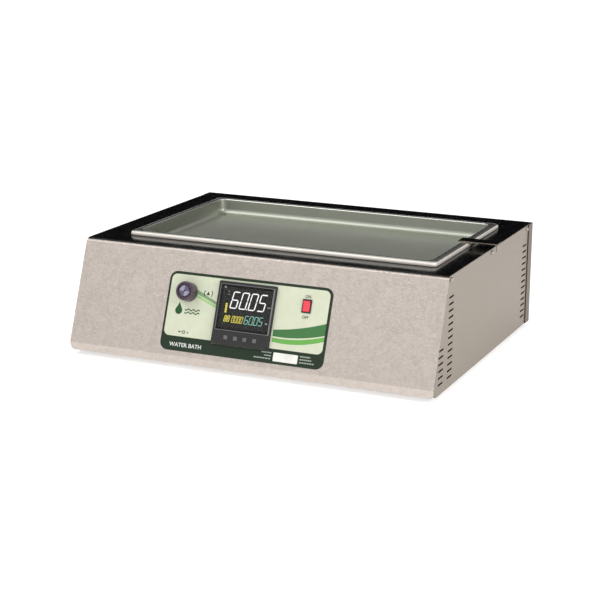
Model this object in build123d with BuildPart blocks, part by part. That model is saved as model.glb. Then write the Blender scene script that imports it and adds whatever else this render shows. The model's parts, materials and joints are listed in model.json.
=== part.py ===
from build123d import *
import math
import os

os.makedirs("parts", exist_ok=True)

# ---------------------------------------------------------------------------
# Driving dimensions, in millimetres.  X runs along the front, +Y to the back,
# +Z up; the origin is the middle of the whole part's box, on the table.
# ---------------------------------------------------------------------------
body_w = 620.0        # over the two side panels
deck_d = 440.0        # flat top, from its front edge to the back face
slope_run = 60.0      # how far the front fold stands in front of the top edge
body_h = 174.0        # case height above its feet
kick_h = 14.0         # upright strip under the fold
kick_back = 3.0       # how far that strip leans back at its foot
fold_round = 0.2      # the rounded fold stays this far behind its sharp corner
foot_h = 8.0
sheet = 1.2           # stainless sheet of the case
gap = 0.3             # assembly gap between neighbouring sheets
deck_t = 2.0

pan_w, pan_d = 530.0, 325.0      # over the pan's rim
rim_w = 13.0                     # flat width of the rim
rim_h = 7.5                      # rim's top above the deck
pan_depth = 27.0                 # from the rim's top to the underside of the pan's floor
pan_t = 1.0
pan_off = (7.0, 209.0)           # pan's centre from the case's middle and the top edge
pan_bend = 9.5                   # bend between the pan's floor and walls
pan_corner = 12.5                # upright corners of the pan

strap_out = 9.6       # how far the lifting strap's tab stands outside the side panel
strap_w = 26.0
strap_t = 1.5
wrap_out = 1.5        # rear cover's flanges stand this far outside the side panels
wrap_w = 24.0
head_h = 2.2          # domed screw heads, which stand outside the left panel
inlet_out = 2.0       # inlet's flange behind the back face

# places worked out from them
body_x = (head_h - strap_out) / 2
half_w = body_w / 2
total_d = slope_run + deck_d + inlet_out
y_fold = -(total_d + fold_round) / 2
y_top = y_fold + slope_run
y_rear = y_top + deck_d
z0 = foot_h
z_top = foot_h + body_h
rise = body_h - kick_h
slope_len = (slope_run**2 + rise**2) ** 0.5
slope_ny, slope_nz = rise / slope_len, slope_run / slope_len
pan_x, pan_y = body_x + pan_off[0], y_top + pan_off[1]
rim_top = z_top + rim_h

# face of the slope: x along the front, y up the slope, z out of the panel
slope = Plane(origin=(body_x, y_top, z_top), x_dir=(1, 0, 0), z_dir=(0, -rise, slope_run))


def on_slope(u, v, out=0.0):
    """Plane parallel with the slope at u across and v down from the top edge, `out` in front of it."""
    return Plane(origin=slope.from_local_coords(Vector(u, -v, out)), x_dir=slope.x_dir, z_dir=slope.z_dir)


def slope_y(z, inset):
    """Y of the slope's face, moved `inset` into the case, at the height z."""
    return y_top + (inset + slope_nz * (z - z_top)) / slope_ny


# ---------------------------------------------------------------------------
# Places on the slope: u across from the case's middle, v down from the top edge
# ---------------------------------------------------------------------------
ctrl_u, ctrl_v, ctrl_w, ctrl_h, ctrl_out = -10.3, 94.2, 97.4, 99.0, 6.0
ctrl_case_w = 91.4
ctrl_cut = 92.2
window_u, window_v, window_w, window_h = -9.1, 85.2, 89.6, 70.0
key_us, key_v, key_w = (-34.3, -17.8, -1.5, 15.0), 132.4, 6.5
switch_u, switch_v, switch_w, switch_h = 90.8, 68.8, 15.0, 21.0
switch_cut_w, switch_cut_h = 13.2, 19.2
buzzer_u, buzzer_v, buzzer_r = -111.7, 68.8, 15.25
neck_r = 10.9
print_gap = 0.3       # the printed film stops this far from whatever stands on the slope
label_u, label_v, label_w, label_h, label_t, label_r = -8.45, 100.1, 279.5, 125.4, 0.5, 13.0
rating_u, rating_v, rating_w, rating_h = 68.2, 151.9, 40.9, 13.6


# ---------------------------------------------------------------------------
# Case: front panel, side panels, floor, rear cover and deck
# ---------------------------------------------------------------------------
mid = sheet / 2
flange_z = z_top - deck_t - mid
fold_z = z0 + kick_h
top_bend_r, fold_bend_r, foot_bend_r = 4.4, 4.0, 1.6      # middle of the sheet
top_flange, foot_flange = 20.0, 18.0
lower_corner_r = 8.0
top_notch, foot_notch = 15.0, 20.0    # how far the flanges stop short of the case's sides
with BuildPart() as front_panel:
    with BuildSketch(Plane.YZ.offset(body_x - half_w)):
        with BuildLine():
            FilletPolyline(
                (y_top + top_flange, flange_z),
                (slope_y(flange_z, mid), flange_z),
                (slope_y(fold_z, mid), fold_z),
                (y_fold + kick_back + mid, z0 + mid),
                (y_fold + kick_back + foot_flange, z0 + mid),
                radius=(top_bend_r, fold_bend_r, foot_bend_r),
            )
        trace(line_width=sheet)
    extrude(amount=body_w)
    # the bottom corners are rounded in the front view
    with BuildSketch(Plane.XZ.offset(-y_top - 40)):
        with Locations((body_x, (z0 + z_top) / 2)):
            RectangleRounded(body_w, body_h, lower_corner_r)
        with Locations((body_x, z_top - body_h / 4)):
            Rectangle(body_w, body_h / 2)
    extrude(amount=2 * slope_run, mode=Mode.INTERSECT)
    # the two flanges run between the side panels
    for side in (-1, 1):
        edge_x = body_x + side * half_w
        with BuildSketch(Plane.XY.offset(z_top)):
            with Locations((edge_x, y_top + 3 + top_flange)):
                Rectangle(2 * top_notch, 2 * top_flange)
        extrude(amount=-9, mode=Mode.SUBTRACT)
        with BuildSketch(Plane.XY.offset(z0 - 1)):
            with Locations((edge_x, y_fold + kick_back + 3.4 + foot_flange)):
                Rectangle(2 * foot_notch, 2 * foot_flange)
        extrude(amount=4, mode=Mode.SUBTRACT)
    # cut-outs of the controller, the switch and the sounder
    with BuildSketch(slope.offset(5)):
        with Locations((ctrl_u, -ctrl_v)):
            Rectangle(ctrl_cut, ctrl_cut)
        with Locations((switch_u, -switch_v)):
            Rectangle(switch_cut_w, switch_cut_h)
        with Locations((buzzer_u, -buzzer_v)):
            Circle(neck_r + gap)
    extrude(amount=-12, mode=Mode.SUBTRACT)
front_panel.part.label = "front_panel"
export_step(front_panel.part, "parts/front_panel.step")

side_flange = 14.0
wrap_clear = 3.0      # side panels end this far inside the back face, clear of the rear cover's bends
slot_w, slot_h, slot_pitch = 22.0, 3.0, 10.37
slot_columns = ((11.5, 16.6, 13), (-30.0, 16.5, 6), (397.0, 17.4, 13))
screw_ys = (8.6, 209.5, 409.0)
side_screw_z = z_top - 6.0
screw_r, head_r, hole_clear, tight = 2.0, 3.5, 0.2, 0.05
slope_gap = sheet + gap + 0.2         # side panels end this far inside the slope's face
floor_y0, floor_y1 = y_fold + 30.0, y_rear - 8.0      # ends of their floor flanges
floor_screw_pitch = 200.0

for side, side_name in ((-1, "left"), (1, "right")):
    outer = body_x + side * half_w
    inward = -side * sheet
    with BuildPart() as side_panel:
        with BuildSketch(Plane.YZ.offset(outer)):
            with BuildLine():
                Polyline(
                    (y_top + 3.4, z_top),
                    (y_top + 3.4, z_top - 4.5),
                    (slope_y(z_top - 10, slope_gap), z_top - 10),
                    (slope_y(fold_z, slope_gap), fold_z),
                    (y_fold + kick_back + 2.6, z0 + 6),
                    (y_fold + kick_back + 8, z0),
                    (y_rear - wrap_clear, z0),
                    (y_rear - wrap_clear, z_top),
                    close=True,
                )
            make_face()
            for slot_y, slot_z, count in slot_columns:
                for row in range(count):
                    with Locations((y_top + slot_y, z0 + slot_z + row * slot_pitch)):
                        SlotOverall(slot_w, slot_h, mode=Mode.SUBTRACT)
            for screw_y in screw_ys:
                with Locations((y_top + screw_y, side_screw_z)):
                    Circle(screw_r + hole_clear, mode=Mode.SUBTRACT)
        extrude(amount=inward)
        with BuildSketch(Plane.XY.offset(z0)):
            with Locations((outer - side * side_flange / 2, (floor_y0 + floor_y1) / 2)):
                Rectangle(side_flange, floor_y1 - floor_y0)
                with GridLocations(0, floor_screw_pitch, 1, 3):
                    Circle(screw_r + hole_clear, mode=Mode.SUBTRACT)
        extrude(amount=sheet)
    side_panel.part.label = f"side_panel_{side_name}"
    export_step(side_panel.part, f"parts/side_panel_{side_name}.step")

floor_z = z0 + 2 * sheet          # top of the floor sheet
foot_x, foot_ys, foot_r = 250.0, (y_fold + 65, y_rear - 50), 15.0
foot_places = [(body_x + side * foot_x, y) for side in (-1, 1) for y in foot_ys]
base_screw_ys = [(floor_y0 + floor_y1) / 2 + step * floor_screw_pitch for step in (-1, 0, 1)]
base_screw_x = half_w - side_flange / 2
base_screw_places = [(body_x + side * base_screw_x, y) for side in (-1, 1) for y in base_screw_ys]
tray_w, tray_d, tray_t = 484.0, 279.0, 1.0
post_places = [(pan_x + side * 200, pan_y + end * 100) for side in (-1, 1) for end in (-1, 1)]
lower_screw_z = z0 + 12
rear_screw_xs = (-280, 0, 280)

with BuildPart() as base_plate:
    base_front = y_fold + kick_back + 5
    with BuildSketch(Plane.XY.offset(z0 + sheet)):
        with Locations((body_x, (base_front + y_rear - sheet) / 2)):
            Rectangle(body_w - 2 * sheet - 2 * gap, y_rear - sheet - base_front)
        with Locations(*foot_places, *base_screw_places, *post_places):
            Circle(screw_r + hole_clear, mode=Mode.SUBTRACT)
    extrude(amount=sheet)
    with BuildSketch(Plane.XZ.offset(-(y_rear - sheet))):
        with Locations((body_x, z0 + sheet + 11)):
            Rectangle(body_w - 8, 22)
        with Locations(*[(body_x + x, lower_screw_z) for x in rear_screw_xs]):
            Circle(screw_r + tight, mode=Mode.SUBTRACT)
    extrude(amount=sheet)
base_plate.part.label = "base_plate"
export_step(base_plate.part, "parts/base_plate.step")

inlet_x, inlet_z = body_x + 200.0, z0 + 48.0
inlet_body_w, inlet_body_h, inlet_screw_x, inlet_screw_r = 27.4, 31.4, 20.0, 1.5
upper_screw_z = z_top - deck_t - 7.0

with BuildPart() as rear_cover:
    wrap_half = half_w + wrap_out
    with BuildSketch(Plane.XY.offset(z0)):
        with BuildLine():
            FilletPolyline(
                (body_x - wrap_half + mid, y_rear - wrap_w),
                (body_x - wrap_half + mid, y_rear - mid),
                (body_x + wrap_half - mid, y_rear - mid),
                (body_x + wrap_half - mid, y_rear - wrap_w),
                radius=2.0,
            )
        trace(line_width=sheet)
    extrude(amount=body_h)
    with BuildSketch(Plane.XZ.offset(-y_rear - 1)):
        with Locations((inlet_x, inlet_z)):
            Rectangle(inlet_body_w + 0.6, inlet_body_h + 0.6)
            with GridLocations(2 * inlet_screw_x, 0, 2, 1):
                Circle(inlet_screw_r + 0.3)
        for x in rear_screw_xs:
            with Locations((body_x + x, lower_screw_z), (body_x + x, upper_screw_z)):
                Circle(screw_r + hole_clear)
        with Locations((body_x - 120, z0 + 80)):
            with GridLocations(32, slot_pitch, 5, 9):
                SlotOverall(slot_w, slot_h)
    extrude(amount=6, mode=Mode.SUBTRACT)
rear_cover.part.label = "rear_cover"
export_step(rear_cover.part, "parts/rear_cover.step")

deck_half = half_w - sheet - gap
deck_y0, deck_y1 = y_top + 3.2, y_rear - sheet
flange_h, flange_t = 16.0, 1.5
mouth_w, mouth_d = pan_w - 2 * rim_w, pan_d - 2 * rim_w
cut_clear = 2.5
with BuildPart() as deck_plate:
    with BuildSketch(Plane.XY.offset(z_top)):
        with Locations((body_x, (deck_y0 + deck_y1) / 2)):
            Rectangle(2 * deck_half, deck_y1 - deck_y0)
        with Locations((pan_x, pan_y)):
            RectangleRounded(mouth_w + 2 * cut_clear, mouth_d + 2 * cut_clear, pan_corner + cut_clear,
                             mode=Mode.SUBTRACT)
    extrude(amount=-deck_t)
    with BuildSketch(Plane.XY.offset(z_top - deck_t)):
        for side in (-1, 1):
            with Locations((body_x + side * (deck_half - flange_t / 2), (deck_y0 + 4 + deck_y1 - 4) / 2)):
                Rectangle(flange_t, deck_y1 - deck_y0 - 8)
        with Locations((body_x, deck_y1 - flange_t / 2)):
            Rectangle(2 * deck_half - 20, flange_t)
    extrude(amount=-flange_h)
    for side in (-1, 1):
        with BuildSketch(Plane.YZ.offset(body_x + side * (deck_half + 1))):
            with Locations(*[(y_top + y, side_screw_z) for y in screw_ys]):
                Circle(screw_r + tight)
        extrude(amount=-side * 4, mode=Mode.SUBTRACT)
    with BuildSketch(Plane.XZ.offset(-deck_y1 - 1)):
        with Locations(*[(body_x + x, upper_screw_z) for x in rear_screw_xs]):
            Circle(screw_r + tight)
    extrude(amount=4, mode=Mode.SUBTRACT)
deck_plate.part.label = "deck_plate"
export_step(deck_plate.part, "parts/deck_plate.step")

# ---------------------------------------------------------------------------
# Pan, its seal and its lifting strap
# ---------------------------------------------------------------------------
with BuildPart() as deck_seal:
    with BuildSketch(Plane.XY.offset(z_top)):
        with Locations((pan_x, pan_y)):
            RectangleRounded(mouth_w + 20, mouth_d + 20, pan_corner + 4)
            RectangleRounded(mouth_w + 8, mouth_d + 8, pan_corner + 3, mode=Mode.SUBTRACT)
    extrude(amount=rim_h - pan_t - gap)
deck_seal.part.label = "deck_seal"
export_step(deck_seal.part, "parts/deck_seal.step")

roll_h = rim_h - gap              # the rim's rolled edge ends just above the deck
rim_corner = 8.0
lip_r = 2.0
with BuildPart() as pan_space:
    with BuildSketch(Plane.XY.offset(rim_top)):
        with Locations((pan_x, pan_y)):
            RectangleRounded(mouth_w, mouth_d, pan_corner)
    extrude(amount=-(pan_depth - pan_t))
    fillet(pan_space.edges().group_by(Axis.Z)[0], pan_bend)

with BuildPart() as pan:
    with BuildSketch(Plane.XY.offset(rim_top)):
        with Locations((pan_x, pan_y)):
            RectangleRounded(mouth_w + 2 * pan_t, mouth_d + 2 * pan_t, pan_corner + pan_t)
    extrude(amount=-pan_depth)
    fillet(pan.edges().group_by(Axis.Z)[0], pan_bend + pan_t)
    with BuildSketch(Plane.XY.offset(rim_top - roll_h)):
        with Locations((pan_x, pan_y)):
            RectangleRounded(pan_w, pan_d, rim_corner)
    extrude(amount=roll_h)
    fillet(pan.edges().group_by(Axis.Z)[-1], lip_r + 0.3)
    with BuildSketch(Plane.XY.offset(rim_top - roll_h)):
        with Locations((pan_x, pan_y)):
            RectangleRounded(pan_w - 2 * pan_t, pan_d - 2 * pan_t, rim_corner - pan_t)
            RectangleRounded(mouth_w + 2 * pan_t, mouth_d + 2 * pan_t, pan_corner + pan_t, mode=Mode.SUBTRACT)
    extrude(amount=roll_h - pan_t, mode=Mode.SUBTRACT)
    add(pan_space.part, mode=Mode.SUBTRACT)
pan.part.label = "pan"
export_step(pan.part, "parts/pan.step")

strap_y = y_top + 217.0
strap_x0 = pan_x + pan_w / 2 - rim_w - 5.0     # inner end, a little over the basin
strap_x1 = body_x + half_w + strap_out         # outer face of the tab
tab_h = 12.0
with BuildPart() as lifting_strap:
    with BuildSketch(Plane.XZ.offset(-(strap_y - strap_w / 2))):
        with BuildLine():
            FilletPolyline(
                (strap_x0, rim_top + strap_t / 2),
                (strap_x1 - strap_t / 2, rim_top + strap_t / 2),
                (strap_x1 - strap_t / 2, rim_top + strap_t - tab_h),
                radius=1.6,
            )
        trace(line_width=strap_t)
    extrude(amount=-strap_w)
lifting_strap.part.label = "lifting_strap"
export_step(lifting_strap.part, "parts/lifting_strap.step")

# ---------------------------------------------------------------------------
# Heater stack under the pan
# ---------------------------------------------------------------------------
plate_t, mat_t, pad_t = 8.0, 1.5, 25.0
plate_z1 = rim_top - pan_depth - gap
plate_z0 = plate_z1 - plate_t
mat_z0 = plate_z0 - mat_t
pad_z0 = mat_z0 - pad_t
tray_z0 = pad_z0 - tray_t
probe_x, probe_z, probe_r, probe_len = pan_x + 60.0, plate_z0 + plate_t / 2, 2.5, 40.0
cutout_x, cutout_y = pan_x - 120.0, pan_y
cutout_r, cutout_h, cutout_room, cutout_port = 8.0, 10.0, 16.0, 10.0
tray_corner, post_r, post_bore = 12.0, 7.0, 2.1

with BuildPart() as heater_plate:
    with BuildSketch(Plane.XY.offset(plate_z0)):
        with Locations((pan_x, pan_y)):
            RectangleRounded(tray_w, tray_d, tray_corner)
    extrude(amount=plate_t)
    with BuildSketch(Plane.XZ.offset(-(pan_y - tray_d / 2))):
        with Locations((probe_x, probe_z)):
            Circle(probe_r + 0.2)
    extrude(amount=-probe_len, mode=Mode.SUBTRACT)
heater_plate.part.label = "heater_plate"
export_step(heater_plate.part, "parts/heater_plate.step")

with BuildPart() as heater_mat:
    with BuildSketch(Plane.XY.offset(mat_z0)):
        with Locations((pan_x, pan_y)):
            RectangleRounded(tray_w - 14, tray_d - 14, 8)
        with Locations((cutout_x, cutout_y)):
            Circle(cutout_room, mode=Mode.SUBTRACT)
    extrude(amount=mat_t)
heater_mat.part.label = "heater_mat"
export_step(heater_mat.part, "parts/heater_mat.step")

with BuildPart() as insulation_pad:
    with BuildSketch(Plane.XY.offset(pad_z0)):
        with Locations((pan_x, pan_y)):
            RectangleRounded(tray_w - 4, tray_d - 4, 10)
        with Locations((cutout_x, cutout_y)):
            Circle(cutout_room, mode=Mode.SUBTRACT)
    extrude(amount=pad_t)
insulation_pad.part.label = "insulation_pad"
export_step(insulation_pad.part, "parts/insulation_pad.step")

with BuildPart() as heater_tray:
    with BuildSketch(Plane.XY.offset(tray_z0)):
        with Locations((pan_x, pan_y)):
            RectangleRounded(tray_w, tray_d, tray_corner)
    extrude(amount=plate_z0 - tray_z0)
    with BuildSketch(Plane.XY.offset(pad_z0)):
        with Locations((pan_x, pan_y)):
            RectangleRounded(tray_w - 2 * tray_t, tray_d - 2 * tray_t, tray_corner - tray_t)
    extrude(amount=plate_z0 - pad_z0, mode=Mode.SUBTRACT)
    with BuildSketch(Plane.XY.offset(tray_z0)):
        with Locations((cutout_x, cutout_y)):
            Circle(cutout_port)
    extrude(amount=tray_t, mode=Mode.SUBTRACT)
heater_tray.part.label = "heater_tray"
export_step(heater_tray.part, "parts/heater_tray.step")

with BuildPart() as tray_posts:
    with BuildSketch(Plane.XY.offset(floor_z)):
        with Locations(*post_places):
            RegularPolygon(post_r, 6)
            Circle(post_bore, mode=Mode.SUBTRACT)
    extrude(amount=tray_z0 - floor_z)
tray_posts.part.label = "tray_posts"
export_step(tray_posts.part, "parts/tray_posts.step")

with BuildPart() as safety_thermostat:
    with BuildSketch(Plane.XY.offset(plate_z0)):
        with Locations((cutout_x, cutout_y)):
            SlotOverall(30, 12)
    extrude(amount=-tray_t)
    with BuildSketch(Plane.XY.offset(plate_z0 - tray_t)):
        with Locations((cutout_x, cutout_y)):
            Circle(cutout_r)
    extrude(amount=-cutout_h)
    with BuildSketch(Plane.XY.offset(plate_z0 - tray_t - cutout_h)):
        with Locations((cutout_x - 4, cutout_y), (cutout_x + 4, cutout_y)):
            Rectangle(0.8, 5)
    extrude(amount=-8)
safety_thermostat.part.label = "safety_thermostat"
export_step(safety_thermostat.part, "parts/safety_thermostat.step")

with BuildPart() as temperature_probe:
    with BuildSketch(Plane.XZ.offset(-(pan_y - tray_d / 2 - 8))):
        with Locations((probe_x, probe_z)):
            Circle(probe_r)
    extrude(amount=-(probe_len + 6))
    fillet(temperature_probe.edges().group_by(Axis.Y)[-1], 2)
temperature_probe.part.label = "temperature_probe"
export_step(temperature_probe.part, "parts/temperature_probe.step")

# ---------------------------------------------------------------------------
# Slope: printed film, controller, switch and sounder
# ---------------------------------------------------------------------------
with BuildPart() as overlay_label:
    with BuildSketch(slope):
        with Locations((label_u, -label_v)):
            RectangleRounded(label_w, label_h, label_r)
        with Locations((ctrl_u, -ctrl_v)):
            Rectangle(ctrl_w + 2 * print_gap, ctrl_h + 2 * print_gap, mode=Mode.SUBTRACT)
        with Locations((switch_u, -switch_v)):
            Rectangle(switch_w + 2 * print_gap, switch_h + 2 * print_gap, mode=Mode.SUBTRACT)
        with Locations((buzzer_u, -buzzer_v)):
            Circle(buzzer_r + print_gap, mode=Mode.SUBTRACT)
    extrude(amount=label_t)
overlay_label.part.label = "overlay_label"
export_step(overlay_label.part, "parts/overlay_label.step")

with BuildPart() as rating_label:
    with BuildSketch(slope.offset(label_t)):
        with Locations((rating_u, -rating_v)):
            RectangleRounded(rating_w, rating_h, 1.2)
    extrude(amount=0.2)
rating_label.part.label = "rating_label"
export_step(rating_label.part, "parts/rating_label.step")

pocket_z = ctrl_out - 2.5             # the window's seat in the bezel
glass_t = 1.5
with BuildPart() as controller_bezel:
    with BuildSketch(slope):
        with Locations((ctrl_u, -ctrl_v)):
            RectangleRounded(ctrl_w, ctrl_h, 2)
    extrude(amount=ctrl_out)
    chamfer(controller_bezel.faces().sort_by(Axis(slope.origin, slope.z_dir))[-1].edges(), 0.8)
    with BuildSketch(slope):
        with Locations((window_u, -window_v)):
            Rectangle(window_w - 4, window_h - 4)
        with Locations(*[(u, -key_v) for u in key_us]):
            Rectangle(key_w + 0.6, key_w + 0.6)
    extrude(amount=ctrl_out, mode=Mode.SUBTRACT)
    with BuildSketch(slope.offset(pocket_z)):
        with Locations((window_u, -window_v)):
            RectangleRounded(window_w + 0.4, window_h + 0.4, 1.2)
    extrude(amount=ctrl_out - pocket_z, mode=Mode.SUBTRACT)
controller_bezel.part.label = "controller_bezel"
export_step(controller_bezel.part, "parts/controller_bezel.step")

with BuildPart() as controller_window:
    with BuildSketch(slope.offset(pocket_z)):
        with Locations((window_u, -window_v)):
            RectangleRounded(window_w, window_h, 1)
    extrude(amount=glass_t)
controller_window.part.label = "controller_window"
export_step(controller_window.part, "parts/controller_window.step")

board_z, board_t, board_w = -6.0, 1.6, 87.0
with BuildPart() as controller_display:
    with BuildSketch(slope.offset(board_z + board_t)):
        with Locations((window_u, -window_v)):
            Rectangle(window_w - 5, window_h - 5)
    extrude(amount=pocket_z - 0.5 - board_z - board_t)
controller_display.part.label = "controller_display"
export_step(controller_display.part, "parts/controller_display.step")

with BuildPart() as controller_board:
    with BuildSketch(slope.offset(board_z)):
        with Locations((ctrl_u, -ctrl_v)):
            Rectangle(board_w, board_w)
    extrude(amount=board_t)
    # the four push switches under the keys
    with BuildSketch(slope.offset(board_z + board_t)):
        with Locations(*[(u, -key_v) for u in key_us]):
            Rectangle(6, 6)
    extrude(amount=1.0)
controller_board.part.label = "controller_board"
export_step(controller_board.part, "parts/controller_board.step")

case_len, case_wall = 75.0, 2.0
with BuildPart() as controller_case:
    with BuildSketch(slope):
        with Locations((ctrl_u, -ctrl_v)):
            Rectangle(ctrl_case_w, ctrl_case_w)
    extrude(amount=-case_len)
    with BuildSketch(slope):
        with Locations((ctrl_u, -ctrl_v)):
            Rectangle(ctrl_case_w - 2 * case_wall, ctrl_case_w - 2 * case_wall)
    extrude(amount=-(case_len - case_wall), mode=Mode.SUBTRACT)
controller_case.part.label = "controller_case"
export_step(controller_case.part, "parts/controller_case.step")

strip_places = ((ctrl_u, -ctrl_v + 26), (ctrl_u, -ctrl_v - 26))
strip_h = 10.0
with BuildPart() as controller_terminals:
    with BuildSketch(slope.offset(-case_len)):
        with Locations(*strip_places):
            Rectangle(80, 14)
    extrude(amount=-strip_h)
    with BuildSketch(slope.offset(-case_len - strip_h)):
        with Locations(*strip_places):
            with GridLocations(8, 0, 9, 1):
                Circle(2.2)
    extrude(amount=4, mode=Mode.SUBTRACT)
controller_terminals.part.label = "controller_terminals"
export_step(controller_terminals.part, "parts/controller_terminals.step")

with BuildPart() as controller_clamps:
    with BuildSketch(slope.offset(-sheet)):
        with Locations((ctrl_u, -ctrl_v)):
            with GridLocations(ctrl_case_w + 8, 0, 2, 1):
                Rectangle(8, 24)
    extrude(amount=-34)
controller_clamps.part.label = "controller_clamps"
export_step(controller_clamps.part, "parts/controller_clamps.step")

key_back, key_proud = 2.2, 1.0       # the keys reach behind the bezel and stand proud of it
key_names = ("key_set", "key_shift", "key_down", "key_up")
for key_name, key_u in zip(key_names, key_us):
    with BuildPart() as controller_key:
        with BuildSketch(slope.offset(-key_back)):
            with Locations((key_u, -key_v)):
                Rectangle(key_w, key_w)
        extrude(amount=ctrl_out + key_back + key_proud)
        fillet(controller_key.faces().sort_by(Axis(slope.origin, slope.z_dir))[-1].edges(), 0.6)
    controller_key.part.label = key_name
    export_step(controller_key.part, f"parts/{key_name}.step")

switch_bezel_t, switch_depth, pivot_out, pin_r = 2.0, 16.0, 0.5, 1.0
rocker_r, rocker_w, rock_deg = 8.6, 11.0, 14.0
with BuildPart() as switch_housing:
    with BuildSketch(slope):
        with Locations((switch_u, -switch_v)):
            RectangleRounded(switch_w, switch_h, 1)
    extrude(amount=switch_bezel_t)
    with BuildSketch(slope):
        with Locations((switch_u, -switch_v)):
            Rectangle(switch_cut_w - gap, switch_cut_h - gap)
    extrude(amount=-switch_depth)
    with BuildSketch(slope.offset(switch_bezel_t)):
        with Locations((switch_u, -switch_v)):
            Rectangle(rocker_w + 0.6, 2 * rocker_r + 0.6)
    extrude(amount=-10, mode=Mode.SUBTRACT)
    pivot = on_slope(switch_u, switch_v, pivot_out)
    pivot_axis = Plane(origin=pivot.origin, x_dir=pivot.y_dir, z_dir=pivot.x_dir)
    with BuildSketch(pivot_axis):
        Circle(pin_r + 0.1)
    extrude(amount=6.3, both=True, mode=Mode.SUBTRACT)
switch_housing.part.label = "switch_housing"
export_step(switch_housing.part, "parts/switch_housing.step")

# the rocker's side view, about its pivot: the lower half lies level when off, the upper half stands up
level = switch_bezel_t + 0.4 - pivot_out
rise_per_mm = math.tan(math.radians(rock_deg))
with BuildPart() as switch_rocker:
    with BuildSketch(pivot_axis):
        with BuildLine():
            Polyline(
                (-12, -5),
                (12, -5),
                (12, level + 12 * rise_per_mm),
                (0, level),
                (-12, level),
                close=True,
            )
        make_face()
        Circle(rocker_r, mode=Mode.INTERSECT)
    extrude(amount=rocker_w / 2, both=True)
    with BuildSketch(pivot_axis):
        Circle(pin_r)
    extrude(amount=rocker_w / 2 + 0.6, both=True)
switch_rocker.part.label = "switch_rocker"
export_step(switch_rocker.part, "parts/switch_rocker.step")

with BuildPart() as switch_terminals:
    with BuildSketch(slope.offset(-switch_depth)):
        with Locations((switch_u, -switch_v)):
            with GridLocations(0, 7, 1, 2):
                Rectangle(4.8, 0.8)
    extrude(amount=-9)
switch_terminals.part.label = "switch_terminals"
export_step(switch_terminals.part, "parts/switch_terminals.step")

buzzer_out, recess_r, recess_t, neck_len = 17.0, 12.0, 2.0, 30.0
port_ring, port_r, disc_r = 10.3, 0.9, 8.3
sounder = on_slope(buzzer_u, buzzer_v)
with BuildPart() as buzzer_body:
    with BuildSketch(sounder):
        Circle(buzzer_r)
    extrude(amount=buzzer_out)
    fillet(buzzer_body.faces().sort_by(Axis(sounder.origin, sounder.z_dir))[-1].edges(), 1.5)
    with BuildSketch(sounder):
        Circle(neck_r)
    extrude(amount=-neck_len)
    with BuildSketch(sounder.offset(buzzer_out)):
        Circle(recess_r)
    extrude(amount=-recess_t, mode=Mode.SUBTRACT)
    with BuildSketch(sounder.offset(buzzer_out - recess_t)):
        with PolarLocations(port_ring, 12):
            Circle(port_r)
    extrude(amount=-4, mode=Mode.SUBTRACT)
buzzer_body.part.label = "buzzer_body"
export_step(buzzer_body.part, "parts/buzzer_body.step")

with BuildPart() as buzzer_disc:
    with BuildSketch(sounder.offset(buzzer_out - recess_t)):
        Circle(disc_r)
        Circle(1.5, mode=Mode.SUBTRACT)
    extrude(amount=recess_t + 0.2)
buzzer_disc.part.label = "buzzer_disc"
export_step(buzzer_disc.part, "parts/buzzer_disc.step")

with BuildPart() as buzzer_nut:
    with BuildSketch(sounder.offset(-sheet)):
        RegularPolygon(15, 6)
        Circle(neck_r + 0.1, mode=Mode.SUBTRACT)
    extrude(amount=-5)
buzzer_nut.part.label = "buzzer_nut"
export_step(buzzer_nut.part, "parts/buzzer_nut.step")

# ---------------------------------------------------------------------------
# Mains inlet on the back, with its fuse drawer.  x to the left, y up, z out of the back
# ---------------------------------------------------------------------------
back = Plane(origin=(inlet_x, y_rear, inlet_z), x_dir=(-1, 0, 0), z_dir=(0, 1, 0))
socket_y, socket_w, socket_h, socket_depth = 6.0, 24.0, 16.5, 15.0
drawer_y, drawer_w, drawer_h, drawer_len = -9.5, 21.4, 7.4, 24.0
inlet_len, pin_w, pin_h, pin_tail = 30.0, 2.0, 4.0, 8.0
pin_places = ((-7.0, 4.5), (7.0, 4.5), (0.0, 10.0))
with BuildPart() as power_inlet:
    with BuildSketch(back):
        RectangleRounded(50, 38, 5)
    extrude(amount=inlet_out)
    with BuildSketch(back):
        Rectangle(inlet_body_w, inlet_body_h)
    extrude(amount=-inlet_len)
    with BuildSketch(back.offset(inlet_out)):
        with Locations((0, socket_y)):
            Rectangle(socket_w, socket_h)
    extrude(amount=-(socket_depth + inlet_out), mode=Mode.SUBTRACT)
    with BuildSketch(back.offset(inlet_out)):
        with Locations((0, drawer_y)):
            Rectangle(drawer_w + 0.6, drawer_h + 0.6)
    extrude(amount=-(drawer_len + inlet_out + 1), mode=Mode.SUBTRACT)
    with BuildSketch(back):
        with Locations(*pin_places):
            Rectangle(pin_w + 0.2, pin_h + 0.2)
    extrude(amount=-inlet_len, mode=Mode.SUBTRACT)
    with BuildSketch(back.offset(inlet_out)):
        with GridLocations(2 * inlet_screw_x, 0, 2, 1):
            Circle(inlet_screw_r + hole_clear)
    extrude(amount=-inlet_out, mode=Mode.SUBTRACT)
power_inlet.part.label = "power_inlet"
export_step(power_inlet.part, "parts/power_inlet.step")

with BuildPart() as inlet_pins:
    with BuildSketch(back.offset(-inlet_len - pin_tail)):
        with Locations(*pin_places):
            Rectangle(pin_w, pin_h)
    extrude(amount=inlet_len + pin_tail - 3)
inlet_pins.part.label = "inlet_pins"
export_step(inlet_pins.part, "parts/inlet_pins.step")

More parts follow.
